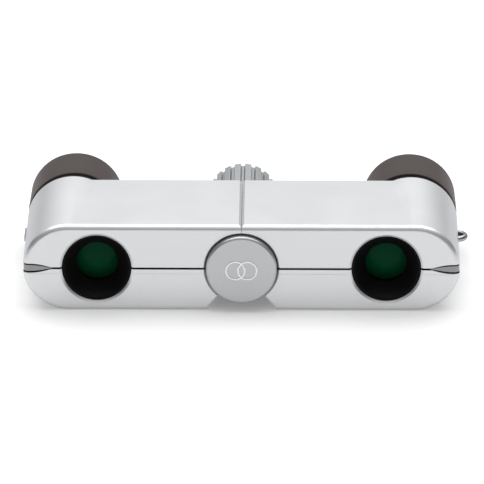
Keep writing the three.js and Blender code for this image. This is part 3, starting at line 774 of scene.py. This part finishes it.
# %% Cap and mark
cap_low, cap_high = bench_box("front_cap")
CAP_RADIUS = (cap_high.x - cap_low.x) / 2
CAP_ROUND = 0.62
cap = lathe([(0, cap_low.y), (CAP_RADIUS, cap_low.y), (CAP_RADIUS, cap_high.y), (0, cap_high.y)], HINGE,
            rounds=[(CAP_RADIUS, cap_low.y, CAP_ROUND)])
piece("front_cap_visual", cap, cap_paint, "silver_paint", "spine", "front_cap")

RING_RADIUS = 1.75
RING_WIDTH = 0.42
RING_RELIEF = 0.14
RING_ROOT = 0.05
RING_ROUND = 0.08
RING_APART = 1.25


def mark_ring(offset):
    """One raised ring of the mark, with its edges rounded."""
    rise, foot = cap_low.y - RING_RELIEF, cap_low.y + RING_ROOT
    edge = RING_RADIUS + RING_WIDTH
    return lathe([(RING_RADIUS, rise), (edge, rise), (edge, foot), (RING_RADIUS, foot)],
                 (HINGE[0] + offset, HINGE[1]),
                 rounds=[(RING_RADIUS, rise, RING_ROUND), (edge, rise, RING_ROUND)], steps=RING_STEPS)


mark = cut(mark_ring(-RING_APART), mark_ring(RING_APART), operation="UNION")
mark_silver = silver_paint("mark_silver", (0.72, 0.73, 0.74), (0.82, 0.83, 0.84), 0.25, 0.6)
piece("cap_mark", mark, mark_silver, "silver_paint", "spine")

# %% [markdown]
# Inside the hinge, two thin washers and a ring nut press the knuckles together. They show when the
# halves are folded, so they are spun smooth as well.

# %% Washers and nut
TUBE_ROOM = 0.08
WASHER_ROUND = 0.08
tube_low, tube_high = bench_box("hinge_tube")
tube_bore = (tube_high.x - tube_low.x) / 2 + TUBE_ROOM
for node, material, slot in (("front_washer", turned_brass, "brass"), ("rear_washer", turned_brass, "brass"),
                             ("hinge_nut", turned_steel, "steel")):
    low, high = bench_box(node)
    edge = (high.x - low.x) / 2
    ring = lathe([(tube_bore, low.y), (edge, low.y), (edge, high.y), (tube_bore, high.y)], HINGE,
                 rounds=[(edge, low.y, WASHER_ROUND), (edge, high.y, WASHER_ROUND)])
    piece(f"{node}_visual", ring, material, slot, "spine", node)

# %% [markdown]
# ## The focus wheel
# Twenty flat ribs run along the wheel, so that one finger can roll it. The real one is milled from
# bar. Here a circle with four corners to each rib gives the outline: two corners stay out and two
# are drawn in. Then it is extruded, and every edge is beveled, which a plain cylinder with a bump
# pattern could not give at its outline.

# %% Focus wheel
RIBS = 20
RIB_HEIGHT = 0.55
RIB_ROUND = 0.14
# how far each of a rib's four corners moves along the circle, in shares of the pitch
CORNER_SHIFTS = (0.16, -0.05, 0.30, 0.09)
GAP_CORNERS = (0, 3)
wheel_low, wheel_high = bench_box("focus_wheel")
WHEEL_RADIUS = (wheel_high.x - wheel_low.x) / 2


def wheel():
    bm = bmesh.new()
    made = bmesh.ops.create_circle(bm, cap_ends=True, radius=WHEEL_RADIUS, segments=RIBS * 4)
    pitch = math.tau / RIBS
    for vert in made["verts"]:
        angle = math.atan2(vert.co.y, vert.co.x)
        corner = round(angle / pitch * 4) % 4
        radius = WHEEL_RADIUS - (RIB_HEIGHT if corner in GAP_CORNERS else 0)
        turned = angle + CORNER_SHIFTS[corner] * pitch
        vert.co = (radius * math.cos(turned), radius * math.sin(turned), 0)
    made = bmesh.ops.extrude_face_region(bm, geom=bm.faces[:])
    top = [item for item in made["geom"] if isinstance(item, bmesh.types.BMVert)]
    bmesh.ops.translate(bm, verts=top, vec=(0, 0, wheel_high.y - wheel_low.y))
    bmesh.ops.recalc_face_normals(bm, faces=bm.faces)
    soften(bm, bm.edges[:], RIB_ROUND, CORNER_SEGMENTS)
    upright = Matrix.Rotation(math.radians(-90), 4, "X")
    bmesh.ops.transform(bm, matrix=upright, verts=bm.verts)
    bmesh.ops.translate(bm, verts=bm.verts, vec=(HINGE[0], wheel_low.y, HINGE[1]))
    return bm


plate_low, plate_high = bench_box("wheel_end_plate")
PLATE_RADIUS = (plate_high.x - plate_low.x) / 2
PLATE_ROOM = 0.2
PLATE_ROUND = 0.2
DIMPLE_RADIUS = 1.2
DIMPLE_DEPTH = 0.25
RECESS_FLARE = 0.15
AXLE_BORE = 3.2
END_ROOM = 0.3
recess_floor, recess_edge = plate_low.y - END_ROOM, PLATE_RADIUS + PLATE_ROOM
recess = lathe([(0, recess_floor), (recess_edge, recess_floor), (recess_edge, wheel_high.y - RECESS_FLARE),
                (recess_edge + 2 * RECESS_FLARE, wheel_high.y + RECESS_FLARE),
                (0, wheel_high.y + RECESS_FLARE)], HINGE)
bore_end = tube_high.y + END_ROOM
bore = lathe([(0, wheel_low.y - PAST), (AXLE_BORE, wheel_low.y - PAST), (AXLE_BORE, bore_end),
              (0, bore_end)], HINGE)
piece("focus_wheel_visual", cut(wheel(), recess, bore), wheel_metal, "wheel_metal", "focus_wheel",
      "focus_wheel")
end_plate = lathe([(0, plate_low.y), (PLATE_RADIUS, plate_low.y), (PLATE_RADIUS, plate_high.y),
                   (DIMPLE_RADIUS, plate_high.y), (0, plate_high.y - DIMPLE_DEPTH)], HINGE,
                  rounds=[(PLATE_RADIUS, plate_high.y, PLATE_ROUND)])
piece("wheel_end_plate_visual", end_plate, wheel_metal, "wheel_metal", "focus_wheel", "wheel_end_plate")
print("wheel radius", round(WHEEL_RADIUS, 2))

# %% [markdown]
# ## Eyepieces
# Every part of an eyepiece is round, so all of them are spun about its axis. The rubber cup has a
# soft rolled rim and a faint taper. The dioptre ring on the right has fine grooves, so that a
# fingernail can turn it, and the left one is plain.

# %% Eyecups
cup_low, cup_high = bench_box("right_eyecup")
sleeve_low, sleeve_high = bench_box("right_cam_sleeve")
CUP_RADIUS = (cup_high.x - cup_low.x) / 2
SLEEVE_RADIUS = (sleeve_high.x - sleeve_low.x) / 2
CUP_TAPER = 0.12
CUP_BELLY = (0.05, 3)
CUP_ROOM = 0.2
CUP_MOUTH = 7.6
CUP_LIP = 2.4
RIM_ROUND = 0.8
FOOT_ROUND = 0.25
cup_inner = SLEEVE_RADIUS + CUP_ROOM
rim_radius = CUP_RADIUS - CUP_TAPER
foot_radius = CUP_RADIUS - CUP_BELLY[0]
cup = lathe([(cup_inner, cup_low.y), (foot_radius, cup_low.y), (CUP_RADIUS, cup_low.y + CUP_BELLY[1]),
             (rim_radius, cup_high.y), (CUP_MOUTH, cup_high.y), (CUP_MOUTH, cup_high.y - CUP_LIP),
             (cup_inner, cup_high.y - CUP_LIP)], EYEPIECE,
            rounds=[(rim_radius, cup_high.y, RIM_ROUND), (CUP_MOUTH, cup_high.y, RIM_ROUND),
                    (foot_radius, cup_low.y, FOOT_ROUND)])
both_sides("eyecup", cup, eyecup_rubber, "eyecup_rubber", "eyecup")


# %% The tubes and rings under the cup
GROOVES = 72
GROOVE_RADIUS = 0.13
GROOVE_OUT = 0.03
SLEEVE_BORE = 8.4
BARREL_BORE = 7.4
RING_BORE = 8.5


def node_tube(node, inner, bevel=0.1, grooves=0):
    """A smooth tube in the place of a round CAD node, with fine grooves cut if wanted."""
    low, high = bench_box(node)
    outer_radius = (high.x - low.x) / 2
    tube = lathe([(inner, low.y), (outer_radius, low.y), (outer_radius, high.y), (inner, high.y)], EYEPIECE,
                 rounds=[(outer_radius, low.y, bevel), (outer_radius, high.y, bevel),
                         (inner, high.y, bevel / 2)])
    if grooves:
        tube = cut(tube, knurl(outer_radius, low.y, high.y, grooves))
    return tube


def knurl(radius, y_front, y_rear, grooves):
    """A ring of small round rods that leave grooves where they cut the tube."""
    bm = bmesh.new()
    bmesh.ops.create_cone(bm, cap_ends=True, segments=6, radius1=GROOVE_RADIUS, radius2=GROOVE_RADIUS,
                          depth=y_rear - y_front + 2 * PAST)
    bmesh.ops.rotate(bm, matrix=Matrix.Rotation(math.radians(90), 3, "X"), verts=bm.verts)
    bmesh.ops.translate(bm, verts=bm.verts, vec=(radius + GROOVE_OUT, (y_front + y_rear) / 2, 0))
    bmesh.ops.spin(bm, geom=bm.verts[:] + bm.edges[:] + bm.faces[:], cent=(0, 0, 0), axis=(0, 1, 0),
                   angle=math.tau * (grooves - 1) / grooves, steps=grooves - 1, use_duplicate=True)
    bmesh.ops.translate(bm, verts=bm.verts, vec=(EYEPIECE[0], 0, EYEPIECE[1]))
    return bm


both_sides("cam_sleeve", node_tube("right_cam_sleeve", SLEEVE_BORE), black_plastic, "black_plastic", "cam_sleeve")
both_sides("eyepiece_barrel", node_tube("right_eyepiece_barrel", BARREL_BORE), black_anodised,
           "black_metal", "half")
piece("right_dioptre_ring_visual", node_tube("right_dioptre_ring", RING_BORE, grooves=GROOVES),
      black_anodised, "black_metal", "dioptre_ring", "right_dioptre_ring")
piece("left_base_ring_visual", node_tube("right_dioptre_ring", RING_BORE), black_anodised, "black_metal",
      "left_half", "left_base_ring", mirrored=True)

# %% The eye lenses and their cells
eye_low, eye_high = bench_box("right_eye_lens")
EYE_RADIUS = (eye_high.x - eye_low.x) / 2
EYE_DOME = 0.7
CELL_BORE = 6.6
EYE_OPENING = 5.5
EYE_RING_ROUND = 0.15
eye_lens = lathe(lens_profile(EYE_RADIUS, eye_low.y, eye_high.y, EYE_DOME), EYEPIECE)
eye_lens_ring = node_tube("right_eye_lens_ring", EYE_OPENING, EYE_RING_ROUND)
ocular = {
    "eyepiece_cell": (node_tube("right_eyepiece_cell", CELL_BORE), black_anodised, "black_metal"),
    "eye_lens_ring": (eye_lens_ring, black_anodised, "black_metal"),
    "eye_lens": (eye_lens, lens_glass, "coated_glass"),
}
for name, (bm, material, slot) in ocular.items():
    piece(f"left_{name}_visual", bm.copy(), material, slot, "left_half", f"left_{name}", mirrored=True)
    piece(f"right_{name}_visual", bm, material, slot, "right_ocular", f"right_{name}")

# %% [markdown]
# ## The strap lug
# A bent chrome wire makes the lug. It is a torus, a circle spun about an upright axis, whose inner
# part is cut off where it enters the strip's pocket. The left half has a small blanking plate in the
# same place.

# %% Lug and plate
LUG_WIRE = 1.3
LUG_LOOP = 1.72
LUG_BURIED = 0.6
WIRE_SEGMENTS = 20
PLATE_EDGE = 0.15
lug_centre = Vector((lug_high.x - LUG_LOOP - LUG_WIRE / 2, (lug_low.y + lug_high.y) / 2, SEAM_Z))


def wire_loop():
    bm = bmesh.new()
    made = bmesh.ops.create_circle(bm, radius=LUG_WIRE / 2, segments=WIRE_SEGMENTS)
    bmesh.ops.rotate(bm, matrix=Matrix.Rotation(math.radians(90), 3, "X"), verts=made["verts"])
    bmesh.ops.translate(bm, verts=made["verts"], vec=(LUG_LOOP, 0, 0))
    bmesh.ops.spin(bm, geom=bm.verts[:] + bm.edges[:], cent=(0, 0, 0), axis=(0, 0, 1), angle=math.tau,
                   steps=RING_STEPS, use_merge=True)
    bmesh.ops.remove_doubles(bm, verts=bm.verts, dist=WELD)
    bmesh.ops.recalc_face_normals(bm, faces=bm.faces)
    bmesh.ops.translate(bm, verts=bm.verts, vec=lug_centre)
    return bm


lug = cut(wire_loop(), block((lug_centre.x - LUG_BURIED, 0, 0), (FAR, DEPTH, FAR)), operation="INTERSECT")
piece("right_strap_lug_visual", lug, lug_chrome, "bright_metal", "right_half", "right_strap_lug")
plate_low, plate_high = bench_box("left_blanking_plate")
plate = block((-plate_high.x, plate_low.y, plate_low.z), (-plate_low.x, plate_high.y, plate_high.z))
soften(plate, plate.edges[:], PLATE_EDGE, CORNER_SEGMENTS)
piece("left_blanking_plate_visual", plate, lug_chrome, "bright_metal", "left_half", "left_blanking_plate",
      mirrored=True)

# %% [markdown]
# ## What stays as the CAD made it
# The chassis, the prisms, the field lenses, the objective cells, the hinge tube and the focus drive
# sit inside, and keep the shape the CAD gave them. They only need their finishes, chosen by the
# record's own slots.

# %% Finishes of the carried-over nodes
BY_SLOT = {
    "silver_paint": shell_paint, "bright_metal": lug_chrome, "black_metal": black_anodised,
    "black_plastic": black_plastic, "grey_trim": strip_grey, "eyecup_rubber": eyecup_rubber,
    "wheel_metal": wheel_metal, "brass": turned_brass, "steel": turned_steel,
    "coated_glass": lens_glass, "prism_glass": prism_glass,
}
slots = {row["node"]: row["material_slot"] for row in frame["record"]["subparts"]}
for node, obj in frame["nodes"].items():
    obj.data.materials.clear()
    obj.data.materials.append(BY_SLOT[slots[node]])

# %% [markdown]
# ## Studio
# A white table, lit a little from below, and a bright room keep the contact shadow soft. A large
# lamp overhead lights the lids more than the front. The room is darker at the sides and in front,
# so that the round ends and the faces keep their shade.

# %% Floor
FLOOR_SIZE = 3.0
FLOOR_WHITE = 0.79
FLOOR_GLOW = 0.22
floor_bm = bmesh.new()
bmesh.ops.create_grid(floor_bm, x_segments=1, y_segments=1, size=FLOOR_SIZE)
floor_mesh = bpy.data.meshes.new("floor")
floor_bm.to_mesh(floor_mesh)
floor_bm.free()
floor = bpy.data.objects.new("floor", floor_mesh)
bpy.context.scene.collection.objects.link(floor)
floor_material, floor_place = new_finish("pale_table")
floor_mesh.materials.append(close_finish(
    floor_material, floor_place, Base_Color=(FLOOR_WHITE, FLOOR_WHITE, FLOOR_WHITE, 1), Roughness=0.9,
    Emission_Color=(1, 1, 1, 1), Emission_Strength=FLOOR_GLOW))


# %% Lamp
LAMP_PLACE = Vector((0, 0.25, 0.75))
LAMP_SIZE = (1.1, 0.9)
LAMP_POWER = 6.4
lamp_data = bpy.data.lights.new("overhead", "AREA")
lamp_data.shape = "RECTANGLE"
lamp_data.size, lamp_data.size_y = LAMP_SIZE
lamp_data.energy = LAMP_POWER
lamp = bpy.data.objects.new("overhead", lamp_data)
bpy.context.scene.collection.objects.link(lamp)
lamp.location = LAMP_PLACE
lamp.rotation_euler = (-LAMP_PLACE).to_track_quat("-Z", "Y").to_euler()

# %% Room
world = bpy.data.worlds.new("room")
bpy.context.scene.world = world
world.use_nodes = True
world.node_tree.nodes.clear()
start = Link(world.node_tree.nodes.new("ShaderNodeTexCoord").outputs["Generated"])
side = start.node("ShaderNodeSeparateXYZ", {}, {"Vector": start}, out=0)
back = start.node("ShaderNodeSeparateXYZ", {}, {"Vector": start}, out=1)
rise = start.node("ShaderNodeSeparateXYZ", {}, {"Vector": start}, out=2)
room = start.node("ShaderNodeValToRGB", {"stops": [(0.0, 0.10), (1.0, 1.0)]},
                  {"Fac": 0.42 + 0.57 * rise + 0.37 * back - 0.85 * side * side})
seen = Link(world.node_tree.nodes.new("ShaderNodeLightPath").outputs["Is Camera Ray"])
colour = start.node("ShaderNodeMix", {"data_type": "RGBA"},
                    {0: seen, 6: room, 7: (1, 1, 1, 1)}, out=2)
glow = start.node("ShaderNodeBackground", {}, {"Color": colour, "Strength": 1.0})
start.node("ShaderNodeOutputWorld", {}, {"Surface": glow})
bpy.context.scene.view_settings.view_transform = "Standard"
